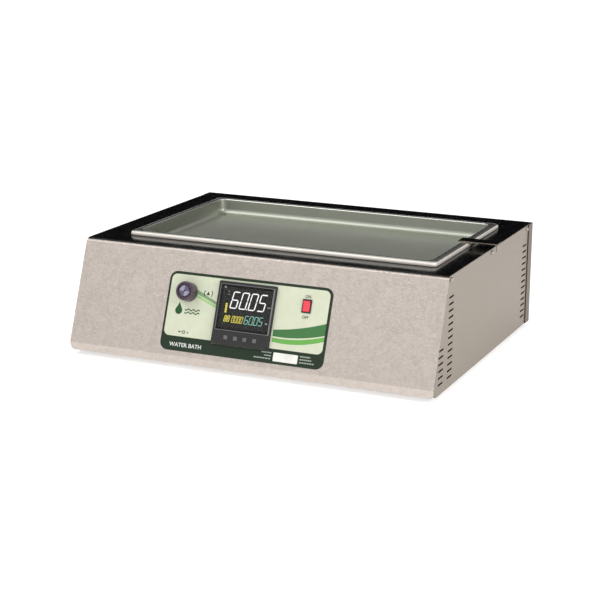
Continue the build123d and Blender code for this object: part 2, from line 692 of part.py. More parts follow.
with BuildPart() as fuse_drawer:
    with BuildSketch(back.offset(inlet_out)):
        with Locations((0, drawer_y)):
            Rectangle(drawer_w, drawer_h)
    extrude(amount=-(drawer_len + inlet_out))
    with BuildSketch(back.offset(-3)):
        with Locations((0, drawer_y + 1.2)):
            Rectangle(6, drawer_h - 2.4 + 0.02)
    extrude(amount=-20.6, mode=Mode.SUBTRACT)
    with BuildSketch(back.offset(inlet_out)):
        with Locations((0, drawer_y - drawer_h / 2)):
            Rectangle(8, 2.4)
    extrude(amount=-1.2, mode=Mode.SUBTRACT)
fuse_drawer.part.label = "fuse_drawer"
export_step(fuse_drawer.part, "parts/fuse_drawer.step")

with BuildPart() as fuse:
    with BuildSketch(back.offset(-3.3)):
        with Locations((0, drawer_y + 1.0)):
            Circle(2.3)
    extrude(amount=-20)
fuse.part.label = "fuse"
export_step(fuse.part, "parts/fuse.step")

# ---------------------------------------------------------------------------
# Power parts on the floor
# ---------------------------------------------------------------------------
sink_x, sink_y, sink_w, sink_d = body_x - 200.0, y_rear - 72.0, 80.0, 70.0
fin_h, sink_top = 20.0, 26.0
with BuildPart() as relay_heat_sink:
    with BuildSketch(Plane.XY.offset(floor_z)):
        with Locations((sink_x, sink_y)):
            with GridLocations(8, 0, 10, 1):
                Rectangle(2, sink_d)
    extrude(amount=sink_top - 2)
    with BuildSketch(Plane.XY.offset(floor_z + fin_h)):
        with Locations((sink_x, sink_y)):
            Rectangle(sink_w, sink_d)
    extrude(amount=sink_top - fin_h)
relay_heat_sink.part.label = "relay_heat_sink"
export_step(relay_heat_sink.part, "parts/relay_heat_sink.step")

with BuildPart() as relay:
    with BuildSketch(Plane.XY.offset(floor_z + sink_top)):
        with Locations((sink_x, sink_y)):
            Rectangle(45, 58)
    extrude(amount=22)
    fillet(relay.edges().filter_by(Axis.Z), 2)
relay.part.label = "relay"
export_step(relay.part, "parts/relay.step")

block_x, block_y, block_h = body_x + 60.0, y_rear - 60.0, 18.0
with BuildPart() as terminal_block:
    with BuildSketch(Plane.XY.offset(floor_z)):
        with Locations((block_x, block_y)):
            Rectangle(72, 22)
    extrude(amount=block_h)
    with BuildSketch(Plane.XY.offset(floor_z + block_h)):
        with Locations((block_x, block_y)):
            with GridLocations(12, 0, 6, 1):
                Circle(2.5)
    extrude(amount=-6, mode=Mode.SUBTRACT)
terminal_block.part.label = "terminal_block"
export_step(terminal_block.part, "parts/terminal_block.step")

# ---------------------------------------------------------------------------
# Screws and feet
# ---------------------------------------------------------------------------
with BuildPart() as side_screws:
    for side in (-1, 1):
        for screw_y in screw_ys:
            seat = Plane(origin=(body_x + side * half_w, y_top + screw_y, side_screw_z), z_dir=(side, 0, 0))
            with Locations(seat):
                Cylinder(head_r, head_h, align=(Align.CENTER, Align.CENTER, Align.MIN))
                Cylinder(screw_r, 8, align=(Align.CENTER, Align.CENTER, Align.MAX))
    for end in (0, -1):
        fillet(side_screws.edges().filter_by(GeomType.CIRCLE).group_by(Axis.X)[end], 1.8)
side_screws.part.label = "side_screws"
export_step(side_screws.part, "parts/side_screws.step")

with BuildPart() as rear_screws:
    for screw_z in (lower_screw_z, upper_screw_z):
        for x in rear_screw_xs:
            with Locations(Plane(origin=(body_x + x, y_rear, screw_z), z_dir=(0, 1, 0))):
                Cylinder(head_r, 1.8, align=(Align.CENTER, Align.CENTER, Align.MIN))
                Cylinder(screw_r, 8, align=(Align.CENTER, Align.CENTER, Align.MAX))
    fillet(rear_screws.edges().filter_by(GeomType.CIRCLE).group_by(Axis.Y)[-1], 1.5)
rear_screws.part.label = "rear_screws"
export_step(rear_screws.part, "parts/rear_screws.step")

with BuildPart() as base_screws:
    for place in base_screw_places:
        with Locations(Plane(origin=(*place, z0), z_dir=(0, 0, -1))):
            Cylinder(head_r, head_h, align=(Align.CENTER, Align.CENTER, Align.MIN))
            Cylinder(screw_r, 8, align=(Align.CENTER, Align.CENTER, Align.MAX))
    for place in post_places:
        with Locations(Plane(origin=(*place, z0 + sheet), z_dir=(0, 0, -1))):
            Cylinder(head_r, head_h, align=(Align.CENTER, Align.CENTER, Align.MIN))
            Cylinder(screw_r, 14, align=(Align.CENTER, Align.CENTER, Align.MAX))
base_screws.part.label = "base_screws"
export_step(base_screws.part, "parts/base_screws.step")

with BuildPart() as inlet_screws:
    for side in (-1, 1):
        with Locations(Plane(origin=(inlet_x + side * inlet_screw_x, y_rear + inlet_out - 1.2, inlet_z),
                             z_dir=(0, 1, 0))):
            Cylinder(inlet_screw_r, 1.2, align=(Align.CENTER, Align.CENTER, Align.MIN))
            Cylinder(inlet_screw_r, 9, align=(Align.CENTER, Align.CENTER, Align.MAX))
inlet_screws.part.label = "inlet_screws"
export_step(inlet_screws.part, "parts/inlet_screws.step")

foot_bore, bore_depth = 4.5, 5.0
with BuildPart() as rubber_feet:
    with BuildSketch():
        with Locations(*foot_places):
            Circle(foot_r - 1.5)
    extrude(amount=foot_h + sheet, taper=-9)
    with BuildSketch():
        with Locations(*foot_places):
            Circle(foot_bore)
    extrude(amount=bore_depth, mode=Mode.SUBTRACT)
    with BuildSketch():
        with Locations(*foot_places):
            Circle(screw_r + hole_clear)
    extrude(amount=foot_h + sheet, mode=Mode.SUBTRACT)
rubber_feet.part.label = "rubber_feet"
export_step(rubber_feet.part, "parts/rubber_feet.step")

with BuildPart() as foot_screws:
    for place in foot_places:
        with Locations(Plane(origin=(*place, bore_depth), z_dir=(0, 0, -1))):
            Cylinder(head_r, head_h, align=(Align.CENTER, Align.CENTER, Align.MIN))
            Cylinder(screw_r, 11, align=(Align.CENTER, Align.CENTER, Align.MAX))
foot_screws.part.label = "foot_screws"
export_step(foot_screws.part, "parts/foot_screws.step")

# ---------------------------------------------------------------------------
# Wires inside the case: straight runs joined by tangent arcs
# ---------------------------------------------------------------------------
wire_r, wire_bend = 1.3, 6.0
wires = {
    "mains_leads": [
        [(inlet_x - 7, y_rear - 38.2, inlet_z + 4.5), (inlet_x - 7, y_rear - 62, inlet_z + 2),
         (inlet_x - 30, y_rear - 84, floor_z + 10), (block_x + 60, block_y - 4, floor_z + 7),
         (block_x + 36.2, block_y, floor_z + 6)],
    ],
    "heater_leads": [
        [(cutout_x - 4, cutout_y, plate_z0 - 19.2), (cutout_x - 4, cutout_y + 8, 84),
         (cutout_x + 20, cutout_y + 40, 50), (cutout_x + 60, cutout_y + 80, 34),
         (block_x - 62, block_y - 20, 22), (block_x - 50, block_y - 4, 18),
         (block_x - 36.2, block_y - 4, 18)],
    ],
    "probe_lead": [
        [(probe_x, pan_y - tray_d / 2 - 8.2, probe_z), (probe_x, pan_y - tray_d / 2 - 20, probe_z),
         (probe_x - 2, pan_y - tray_d / 2 - 22, probe_z - 24),
         (probe_x - 14, pan_y - tray_d / 2 - 8, probe_z - 50), (probe_x - 36, pan_y - tray_d / 2 + 6, 66),
         (probe_x - 56, pan_y - tray_d / 2 - 2, 52)],
    ],
}
for wire_name, routes in wires.items():
    with BuildPart() as wire:
        for route in routes:
            with BuildLine() as run:
                FilletPolyline(*route, radius=wire_bend)
            with BuildSketch(Plane(origin=run.line @ 0, z_dir=run.line % 0)):
                Circle(wire_r)
            sweep(path=run.line)
    wire.part.label = wire_name
    export_step(wire.part, f"parts/{wire_name}.step")
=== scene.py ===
import json
import math
import bmesh
import bpy
import numpy as np
from mathutils import Matrix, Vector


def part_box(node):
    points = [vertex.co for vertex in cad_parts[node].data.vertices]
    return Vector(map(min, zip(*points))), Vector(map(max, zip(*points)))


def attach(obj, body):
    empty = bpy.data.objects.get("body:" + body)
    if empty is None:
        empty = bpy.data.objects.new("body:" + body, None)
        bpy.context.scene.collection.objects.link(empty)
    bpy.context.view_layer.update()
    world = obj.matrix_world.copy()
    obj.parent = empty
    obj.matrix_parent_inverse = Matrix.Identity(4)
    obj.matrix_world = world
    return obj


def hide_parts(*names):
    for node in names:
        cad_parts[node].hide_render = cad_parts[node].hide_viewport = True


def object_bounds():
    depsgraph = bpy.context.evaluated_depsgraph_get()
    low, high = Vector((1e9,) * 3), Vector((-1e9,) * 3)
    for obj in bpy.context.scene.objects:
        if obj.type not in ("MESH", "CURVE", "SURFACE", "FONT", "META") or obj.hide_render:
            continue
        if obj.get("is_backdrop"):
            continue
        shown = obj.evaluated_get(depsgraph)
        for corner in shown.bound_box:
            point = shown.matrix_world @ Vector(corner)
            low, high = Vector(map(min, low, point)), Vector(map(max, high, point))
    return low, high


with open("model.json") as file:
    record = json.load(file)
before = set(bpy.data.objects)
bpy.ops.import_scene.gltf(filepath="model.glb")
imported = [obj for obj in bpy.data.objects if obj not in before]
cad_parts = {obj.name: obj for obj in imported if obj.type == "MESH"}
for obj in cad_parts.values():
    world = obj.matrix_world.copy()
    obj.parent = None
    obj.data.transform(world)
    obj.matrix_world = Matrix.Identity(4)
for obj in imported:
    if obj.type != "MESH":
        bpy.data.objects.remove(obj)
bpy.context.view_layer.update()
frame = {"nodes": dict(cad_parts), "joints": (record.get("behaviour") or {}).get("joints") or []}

nodes = frame["nodes"]

# ---------------------------------------------------------------------------
# Floor of the case: a galvanised sheet with its four rubber feet, the tray on its
# posts and the screws that hold them, all painted here because only the underside
# and the vents show them.
# ---------------------------------------------------------------------------


def add_node(tree, kind, values=(), **settings):
    """A shader node with its plain settings, and its input sockets from (name or number, value) pairs;
    a value that is itself a socket is linked."""
    made = tree.nodes.new("ShaderNode" + kind)
    for key, value in settings.items():
        setattr(made, key, value)
    for key, value in values:
        if isinstance(value, bpy.types.NodeSocket):
            tree.links.new(value, made.inputs[key])
        else:
            made.inputs[key].default_value = value
    return made


def new_material(name, **sockets):
    """A material with one Principled shader whose named sockets hold these plain values."""
    material = bpy.data.materials.new(name)
    material.use_nodes = True
    shader = material.node_tree.nodes["Principled BSDF"]
    for key, value in sockets.items():
        shader.inputs[key.replace("_", " ")].default_value = value
    return material, material.node_tree, shader


def place_of(tree, stretch=(1, 1, 1), turn=(0, 0, 0)):
    """Object coordinates, in metres, turned and then stretched."""
    coords = add_node(tree, "TexCoord").outputs["Object"]
    return add_node(tree, "Mapping", [("Vector", coords), ("Rotation", turn), ("Scale", stretch)]).outputs[0]


def noise(tree, place, scale, detail=3.0, rough=0.5, swirl=0.0):
    """Cloudy noise from 0 to 1, with `scale` features to the metre."""
    made = add_node(tree, "TexNoise", [("Vector", place), ("Scale", scale), ("Detail", detail),
                                       ("Roughness", rough), ("Distortion", swirl)])
    return made.outputs["Fac"]


def spread(tree, value, low, high, to_low, to_high):
    """value, carried in a straight line from low..high to to_low..to_high, and held there outside."""
    return add_node(tree, "MapRange", [("Value", value), ("From Min", low), ("From Max", high),
                                       ("To Min", to_low), ("To Max", to_high)]).outputs[0]


def between(tree, factor, first, second):
    """Colour between first and second, by factor."""
    made = add_node(tree, "Mix", data_type="RGBA")
    for socket, value in ((made.inputs[0], factor), (made.inputs[6], first), (made.inputs[7], second)):
        if isinstance(value, bpy.types.NodeSocket):
            tree.links.new(value, socket)
        else:
            socket.default_value = value if isinstance(value, float) else (*value, 1)
    return made.outputs[2]


def relief(tree, shader, height, depth):
    """Bump of the shader's surface: height from 0 to 1 stands for `depth` metres."""
    made = add_node(tree, "Bump", [("Height", height), ("Distance", depth), ("Strength", 1.0)])
    tree.links.new(made.outputs[0], shader.inputs["Normal"])


def added(tree, first, second, share=1.0):
    """first plus share times second."""
    return add_node(tree, "Math", [(0, second), (1, share), (2, first)], operation="MULTIPLY_ADD").outputs[0]


def paint(material, *names):
    """Gives CAD nodes this one material."""
    for name in names:
        mesh = nodes[name].data
        mesh.materials.clear()
        mesh.materials.append(material)


def moulded(name, colour, rough, grain=900.0, depth=0.00004, dark=0.86, **sockets):
    """Moulded plastic or rubber: one colour with a faint cloud in it, and a fine pebbled skin."""
    material, tree, shader = new_material(name, **sockets)
    place = place_of(tree)
    cloud = noise(tree, place, 60, 4)
    darker = tuple(dark * c for c in colour)
    shade = between(tree, spread(tree, cloud, 0.35, 0.65, 0, 1), darker, colour)
    tree.links.new(shade, shader.inputs["Base Color"])
    skin = noise(tree, place, grain, 2)
    tree.links.new(spread(tree, added(tree, skin, cloud, 0.5), 0.5, 1.1, rough * 0.85, rough * 1.15),
                   shader.inputs["Roughness"])
    relief(tree, shader, skin, depth)
    return material


def ground_steel(name, colour, rough, along, streak=0.10, dark=0.82):
    """Ground steel: very long thin streaks along one axis change its tone, roughness and relief a little."""
    material, tree, shader = new_material(name, Metallic=1.0)
    stretch = tuple(12 if axis == along else 900 for axis in "xyz")
    lines = noise(tree, place_of(tree, stretch), 1.0, 4, 0.6)
    cloud = noise(tree, place_of(tree), 9, 3)
    tone = added(tree, spread(tree, lines, 0.3, 0.7, 0, 1), cloud, 0.4)
    shade = between(tree, spread(tree, tone, 0.2, 1.2, 0, 1), tuple(dark * c for c in colour), colour)
    tree.links.new(shade, shader.inputs["Base Color"])
    roughness = spread(tree, lines, 0.3, 0.7, rough - streak / 2, rough + streak / 2)
    tree.links.new(roughness, shader.inputs["Roughness"])
    relief(tree, shader, lines, 0.00003)
    return material


floor_steel = ground_steel("galvanised_sheet", (0.50, 0.51, 0.52), 0.48, "x", dark=0.7)
paint(floor_steel, "base_plate", "heater_tray")
paint(ground_steel("post_steel", (0.55, 0.55, 0.55), 0.35, "z"), "tray_posts")
paint(moulded("foot_rubber", (0.020, 0.020, 0.021), 0.75, 700, 0.0001), "rubber_feet")
paint(ground_steel("zinc_screws", (0.58, 0.58, 0.56), 0.30, "z"), "base_screws", "foot_screws")

# ---------------------------------------------------------------------------
# Heater parts between the tray and the pan: a milled aluminium plate, the red
# silicone mat glued under it, the white fibre pad, the snap-disc cut-out and the
# probe. They show a little through the vents.
# ---------------------------------------------------------------------------
paint(ground_steel("milled_aluminium", (0.78, 0.79, 0.80), 0.32, "x"), "heater_plate", "relay_heat_sink")
paint(moulded("mat_silicone", (0.50, 0.07, 0.02), 0.55, 400, 0.0001), "heater_mat")
paint(moulded("pad_fibre", (0.78, 0.76, 0.70), 0.95, 260, 0.0006), "insulation_pad")
paint(moulded("phenolic", (0.035, 0.022, 0.016), 0.45), "safety_thermostat", "controller_terminals")
paint(ground_steel("probe_steel", (0.62, 0.62, 0.62), 0.25, "y"), "temperature_probe")

# ---------------------------------------------------------------------------
# Power parts on the floor of the case: relay, terminal block and the wires, each
# a moulded plastic in its usual colour.
# ---------------------------------------------------------------------------
paint(moulded("relay_plastic", (0.60, 0.57, 0.48), 0.5), "relay")
paint(moulded("block_nylon", (0.66, 0.62, 0.52), 0.45), "terminal_block")
paint(moulded("wire_sleeve", (0.36, 0.03, 0.02), 0.5), "mains_leads", "heater_leads", "probe_lead")

# ---------------------------------------------------------------------------
# Side panels: stainless sheet with three columns of punched vent slots. The sheet
# is finely ground along its length, warm grey.
# ---------------------------------------------------------------------------
side_steel = ground_steel("side_sheet", (0.325, 0.277, 0.230), 0.42, "y", streak=0.06, dark=0.94)
paint(side_steel, "side_panel_left", "side_panel_right")

# ---------------------------------------------------------------------------
# Front panel: one stainless sheet bent over the top edge, down the slope and
# under at the kick. Its face has a dull rolled finish with faint crescent marks.
# ---------------------------------------------------------------------------


def rolled_steel(name, colour, rough):
    """Dull rolled steel: swirled soft blotches and small crescents in tone, roughness and relief."""
    material, tree, shader = new_material(name, Metallic=1.0)
    place = place_of(tree)
    blotch = noise(tree, place, 85, 2.5, 0.5, 1.6)
    crescent = noise(tree, place_of(tree, (1, 1.4, 1.4), (0.3, 0.4, 0.5)), 190, 2, 0.5, 2.6)
    fine = noise(tree, place, 1500, 2)
    tone = added(tree, spread(tree, blotch, 0.3, 0.7, 0, 1), spread(tree, crescent, 0.35, 0.65, 0, 1), 0.8)
    tree.links.new(between(tree, spread(tree, tone, 0.2, 1.6, 0, 1), tuple(0.80 * c for c in colour), colour),
                   shader.inputs["Base Color"])
    tree.links.new(spread(tree, tone, 0.2, 1.6, rough - 0.06, rough + 0.06), shader.inputs["Roughness"])
    relief(tree, shader, added(tree, tone, fine, 0.15), 0.00022)
    return material


paint(rolled_steel("front_sheet", (0.59, 0.526, 0.477), 0.42), "front_panel")

# ---------------------------------------------------------------------------
# Rear cover: stainless sheet that wraps round both rear corners, with the grain
# upright. Its colour is painted much darker than the side panels': painted shade
# on the flanges, which turn away from the light.
# ---------------------------------------------------------------------------
# dark brown-grey colour: painted shade on the rear flanges
paint(ground_steel("rear_sheet", (0.17, 0.13, 0.092), 0.38, "z", streak=0.12, dark=0.60), "rear_cover")

# ---------------------------------------------------------------------------
# Deck: steel plate in glossy black enamel, and the black silicone seal that the
# pan's rim stands over.
# ---------------------------------------------------------------------------
deck_enamel, tree, shader = new_material("deck_enamel", Base_Color=(0.003, 0.003, 0.0032, 1), IOR=1.45)
haze = noise(tree, place_of(tree), 40, 3)
wave = noise(tree, place_of(tree), 14, 1)
tree.links.new(spread(tree, haze, 0.3, 0.7, 0.11, 0.17), shader.inputs["Roughness"])
relief(tree, shader, wave, 0.00003)
shader.inputs["Specular IOR Level"].default_value = 0.35
paint(deck_enamel, "deck_plate")
paint(moulded("seal_silicone", (0.016, 0.016, 0.016), 0.6), "deck_seal")

# ---------------------------------------------------------------------------
# Pan: drawn from one stainless sheet, with an 11 mm bend round its floor, a lip,
# a flat rim and an edge rolled down to the deck. Bright, with fine scratches.
# ---------------------------------------------------------------------------


def rounded_loop(half_x, half_y, radius, corner_steps=10, side_steps=6):
    """Points anticlockwise round a rectangle with round corners: each corner is a quarter circle, and
    each side is divided evenly. The same counts give loops that join point to point."""
    quarter = np.linspace(0, np.pi / 2, corner_steps + 1)
    points = []
    for turn, (sx, sy) in enumerate(((1, 1), (-1, 1), (-1, -1), (1, -1))):
        angle = quarter + turn * np.pi / 2
        corner = np.stack([sx * (half_x - radius) + radius * np.cos(angle),
                           sy * (half_y - radius) + radius * np.sin(angle)], 1)
        points.append(corner)
    loops = []
    for turn in range(4):
        here, there = points[turn], points[(turn + 1) % 4]
        share = np.linspace(0, 1, side_steps + 2)[1:-1, None]
        loops += [here, here[-1] * (1 - share) + there[0] * share]
    return np.concatenate(loops)


def new_piece(name, points, faces, material, body, replaced):
    """A smooth mesh object at the origin from points and faces, painted, riding on its body, in place of
    the node `replaced`."""
    mesh = bpy.data.meshes.new(name)
    mesh.from_pydata(np.asarray(points, float).tolist(), [], [list(map(int, f)) for f in faces])
    mesh.materials.append(material)
    mesh.polygons.foreach_set("use_smooth", [True] * len(mesh.polygons))
    mesh.update()
    piece = bpy.data.objects.new(name, mesh)
    bpy.context.scene.collection.objects.link(piece)
    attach(piece, body)
    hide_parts(replaced)
    return piece


def skin_between(loops, count):
    """Quads between neighbouring loops of `count` points each, as rows of four point numbers."""
    rows = np.arange(loops - 1)[:, None]
    cols = np.arange(count)[None]
    a = rows * count + cols
    b = rows * count + (cols + 1) % count
    c = (rows + 1) * count + (cols + 1) % count
    d = (rows + 1) * count + cols
    return np.stack([a, b, c, d], -1).reshape(-1, 4)


def arc(cx, cz, radius, start, stop, steps=8):
    """Points of a circle's arc in a section, angles in degrees from the outward axis."""
    angle = np.radians(np.linspace(start, stop, steps + 1))
    return [(cx + radius * math.cos(t), cz + radius * math.sin(t)) for t in angle]


low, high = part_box("pan")
sheet_t = 0.001
rim_w, bend_r, lip_r, roll_r, roll_h = 0.013, 0.0095, 0.0014, 0.0042, 0.0072
crown, edge_cut = 0.0003, 0.0003
half_x, half_y = (high.x - low.x) / 2, (high.y - low.y) / 2
middle = (low.x + high.x) / 2, (low.y + high.y) / 2
top, floor_z = high.z, low.z + sheet_t
# section of the sheet: distance outward from the basin's wall, and height
section = [(-bend_r, floor_z)]
section += arc(-bend_r, floor_z + bend_r, bend_r, -90, 0)[1:]
lip_start = len(section)
section += arc(lip_r, top - crown - lip_r, lip_r, 180, 100)
# the rim is crowned: highest in its middle
half_run = (rim_w - roll_r - lip_r) / 2
section += [(lip_r + half_run * (1 + k), top - crown * k * k) for k in np.linspace(-0.8, 0.8, 7)]
flat_end = len(section)
section += arc(rim_w - roll_r, top - crown - roll_r, roll_r, 80, 0)
edge_z = top - roll_h
section += [(rim_w, edge_z + edge_cut), (rim_w - edge_cut, edge_z), (rim_w - sheet_t, edge_z)]
roll_end = len(section)
section += arc(rim_w - roll_r, top - crown - roll_r, roll_r - sheet_t, 0, 90)
section += arc(lip_r, top - crown - lip_r, lip_r - sheet_t, 90, 180)
section += arc(-bend_r, floor_z + bend_r, bend_r + sheet_t, 0, -90)
mouth_r, outer_r, foot_r = 0.0125, 0.008, 0.0018
rings = []
for out, z in section:
    inner = np.clip(-out / bend_r, 0, 1)
    edge = np.clip(out / rim_w, 0, 1)
    radius = mouth_r * (1 - inner) + foot_r * inner if out < 0 else mouth_r * (1 - edge) + outer_r * edge
    ring = rounded_loop(half_x - rim_w + out, half_y - rim_w + out, radius)
    rings.append(np.column_stack([ring + middle, np.full(len(ring), z)]))
count = len(rings[0])
faces = [f[::-1] for f in skin_between(len(rings), count).tolist()]
faces.append(list(range(count)))
faces.append(list(range((len(rings) - 1) * count, len(rings) * count))[::-1])


def scratched_steel(name, colour, rough, depth):
    """Bright drawn steel with thin scratches in three directions over a cloudy tone."""
    material, tree, shader = new_material(name, Metallic=1.0)
    cloud = noise(tree, place_of(tree), 22, 3)
    lines = None
    for turn, width in ((0.5, 700), (1.3, 900), (2.4, 800)):
        strip = noise(tree, place_of(tree, (18, width, 40), (0, 0, turn)), 1.0, 2)
        strip = spread(tree, strip, 0.66, 0.74, 0, 1)
        lines = strip if lines is None else added(tree, lines, strip)
    tone = spread(tree, added(tree, lines, cloud, 0.6), 0.1, 0.9, 0, 1)
    tree.links.new(between(tree, tone, tuple(0.9 * c for c in colour), colour), shader.inputs["Base Color"])
    tree.links.new(spread(tree, tone, 0, 1, rough, rough * 1.15), shader.inputs["Roughness"])
    relief(tree, shader, added(tree, lines, cloud, 3.0), depth)
    return material


pan_steel = scratched_steel("pan_sheet", (0.42, 0.435, 0.375), 0.40, 0.00002)
# lighter, warmer copies of the basin's steel for the rim and the rolled edge: painted light
rim_steel = scratched_steel("pan_rim", (0.66, 0.66, 0.61), 0.22, 0.000002)
roll_steel = ground_steel("pan_roll", (0.88, 0.83, 0.76), 0.50, "x", dark=0.95)
roll_steel.node_tree.nodes["Principled BSDF"].inputs["Metallic"].default_value = 0.35
pan_piece = new_piece("pan_drawn", np.concatenate(rings), faces, pan_steel, "pan_unit", "pan")
pan_piece.data.materials.append(roll_steel)
pan_piece.data.materials.append(rim_steel)
# the rim is burnished smooth by forming, and the rolled edge is duller; both are painted lighter and warmer
# than the basin, painted light on the pan's edge
face_slots = np.zeros(len(pan_piece.data.polygons), int)
face_slots[lip_start * count:roll_end * count] = 2
face_slots[(flat_end + 3) * count:(roll_end - 1) * count] = 1
pan_piece.data.polygons.foreach_set("material_index", face_slots)

# ---------------------------------------------------------------------------
# Lifting strap: a bright stainless strip across the pan's right rim, its top
# painted near-black as a painted reflection of the dark room, with bare edges and
# its end turned down as a finger tab.
# ---------------------------------------------------------------------------
strap_finish, tree, shader = new_material("strap_strip")
up = add_node(tree, "SeparateXYZ", [(0, add_node(tree, "NewGeometry").outputs["True Normal"])]).outputs["Z"]
# faces that point up are painted near-black and not metallic: a painted reflection of the dark room in the
# strap's polished top
painted_reflection_top = spread(tree, up, 0.75, 0.85, 0, 1)
rub = noise(tree, place_of(tree), 160, 4)
shade = between(tree, painted_reflection_top, (0.335, 0.290, 0.245), (0.004, 0.004, 0.004))
tree.links.new(shade, shader.inputs["Base Color"])
tree.links.new(spread(tree, painted_reflection_top, 0, 1, 1, 0), shader.inputs["Metallic"])
tree.links.new(added(tree, spread(tree, painted_reflection_top, 0, 1, 0.40, 0.06), spread(tree, rub, 0.3, 0.7, 0, 0.06)),
               shader.inputs["Roughness"])
relief(tree, shader, rub, 0.00002)
paint(strap_finish, "lifting_strap")

# ---------------------------------------------------------------------------
# Printed film on the slope: polyester, dark green round the edge and along its
# foot, with a pale field and green bands. Each ink is its own thin layer.
# ---------------------------------------------------------------------------
inward = np.array([j["axis"] for j in frame["joints"] if j["name"] == "set_press"][0])
out_of = -inward / np.linalg.norm(inward)
across = np.array([1.0, 0, 0])
up_slope = np.cross(out_of, across)
film_t = 0.0005
film_low, film_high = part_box("overlay_label")
# the film's middle and its top edge, from the case's middle and top edge, in millimetres
film_u, film_v = -8.45, 37.4
film_top = np.array([(film_low.x + film_high.x) / 2, film_high.y + out_of[1] * film_t, film_high.z])
film_origin = film_top - film_u / 1000 * across + film_v / 1000 * up_slope


def on_film(u, v, lift):
    """Places on the slope: u across and v down it in millimetres, lift above the film in metres."""
    u, v = np.asarray(u, float)[..., None] / 1000, np.asarray(v, float)[..., None] / 1000
    return film_origin + u * across - v * up_slope + np.asarray(lift, float)[..., None] * out_of


def lay(name, curve, placed, material):
    """Makes a flat curve or word a mesh and puts each of its points where `placed` says."""
    holder = bpy.data.objects.new(name + "_flat", curve)
    bpy.context.scene.collection.objects.link(holder)
    bpy.context.view_layer.update()
    mesh = bpy.data.meshes.new_from_object(holder.evaluated_get(bpy.context.evaluated_depsgraph_get()))
    bpy.data.objects.remove(holder)
    co = np.zeros(len(mesh.vertices) * 3)
    mesh.vertices.foreach_get("co", co)
    mesh.vertices.foreach_set("co", placed(co.reshape(-1, 3)).ravel())
    work = bmesh.new()
    work.from_mesh(mesh)
    bmesh.ops.remove_doubles(work, verts=work.verts, dist=1e-7)
    bmesh.ops.recalc_face_normals(work, faces=work.faces)
    work.to_mesh(mesh)
    work.free()
    mesh.materials.clear()
    mesh.materials.append(material)
    piece = bpy.data.objects.new(name, mesh)
    bpy.context.scene.collection.objects.link(piece)
    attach(piece, "case")
    return piece


def flat_print(name, outlines, material, lift=0.00003, thick=0.00003):
    """A thin layer with these closed outlines in film millimetres (holes too), filled as one flat curve,
    made a mesh and laid on the film with its top at `lift`."""
    curve = bpy.data.curves.new(name, "CURVE")
    curve.dimensions, curve.fill_mode, curve.extrude = "2D", "BOTH", thick / 2
    for outline in outlines:
        spline = curve.splines.new("POLY")
        spline.points.add(len(outline) - 1)
        flat = np.zeros((len(outline), 4))
        flat[:, :2] = np.asarray(outline, float) / 1000
        flat[:, 3] = 1
        spline.points.foreach_set("co", flat.ravel())
        spline.use_cyclic_u = True
    return lay(name, curve, lambda co: on_film(co[:, 0] * 1000, co[:, 1] * 1000, co[:, 2] + lift - thick / 2),
               material)


def words_on(name, text, u, v, size, material, lift=0.00005, align="LEFT"):
    """A word in plain letters `size` mm high, its baseline's start (or end) at u, v."""
    curve = bpy.data.curves.new(name, "FONT")
    curve.body, curve.size, curve.align_x, curve.extrude = text, size * 1.38, align, 0.015
    curve.offset = 0.018 * size
    return lay(name, curve, lambda co: on_film(u + co[:, 0], v - co[:, 1], co[:, 2] / 1000 + lift),
               material)


def box_outline(u0, v0, u1, v1, radius=0.0, steps=8):
    """Rectangle with round corners, in film millimetres."""
    loop = rounded_loop((u1 - u0) / 2, (v1 - v0) / 2, max(radius, 0.01), steps, 1)
    return loop + ((u0 + u1) / 2, (v0 + v1) / 2)


def ring_outline(u, v, radius, steps=48):
    """Circle in film millimetres."""
    angle = np.linspace(0, 2 * np.pi, steps, endpoint=False)
    return np.column_stack([u + radius * np.cos(angle), v + radius * np.sin(angle)])


def smooth_band(top, bottom, steps=24):
    """Outline of a band between two curves, each a parabola through three points (u, v)."""
    edges = []
    for points in (top, bottom):
        u, v = np.array(points, float).T
        fit = np.polyfit(u, v, 2)
        run = np.linspace(u[0], u[-1], steps)
        edges.append(np.column_stack([run, np.polyval(fit, run)]))
    return np.concatenate([edges[0], edges[1][::-1]])


def ink(name, colour, rough=0.42):
    """Screen-printed ink on matt film: a faint cloud in the colour and a fine pebbled skin."""
    return moulded(name, colour, rough, 1400, 0.00001, 0.95, Specular_IOR_Level=0.2)


film_green = ink("film_dark_green", (0.018, 0.032, 0.018))
film_cream = ink("film_cream", (0.605, 0.635, 0.485))
paint(film_green, "overlay_label")
ctrl_u, ctrl_v, ctrl_half_w, ctrl_half_h = -10.3, 94.2, 49.0, 49.8
switch_u, switch_v = 90.8, 68.8
buzzer_u, buzzer_v = -111.7, 68.8
holes = [
    box_outline(ctrl_u - ctrl_half_w, ctrl_v - ctrl_half_h, ctrl_u + ctrl_half_w, 139.7),
    box_outline(switch_u - 7.8, switch_v - 10.8, switch_u + 7.8, switch_v + 10.8),
    ring_outline(buzzer_u, buzzer_v, 15.5),
]
field = box_outline(-144.5, 41.7, 127, 139.8, 9)
flat_print("film_field", [field, *holes], film_cream)

band_green = ink("film_mid_green", (0.058, 0.172, 0.056))
band_light = ink("film_light_green", (0.145, 0.385, 0.082))
band_sage = ink("film_sage", (0.205, 0.330, 0.165))
band_pale = ink("film_pale_green", (0.340, 0.545, 0.220))
sweep_dark = smooth_band([(41.5, 110.5), (85, 103.9), (127, 92.0)],
                         [(41.5, 120.7), (87, 119), (127, 110.5)])
sweep_light = smooth_band([(41.5, 123), (87.8, 121.3), (127, 112.6)],
                          [(41.5, 129.2), (89, 128.8), (127, 119.6)])
flat_print("band_right_dark", [sweep_dark], band_green, 0.00006)
flat_print("band_right_light", [sweep_light], band_light, 0.00006)
flat_print("band_left_sage", [[(-99, 62.5), (-57, 80.9), (-57, 85.4), (-99, 69.2)]], band_sage, 0.00006)
flat_print("band_left_pale", [[(-99, 70.8), (-57, 86.4), (-57, 90.6), (-99, 74.6)]], band_pale, 0.00006)

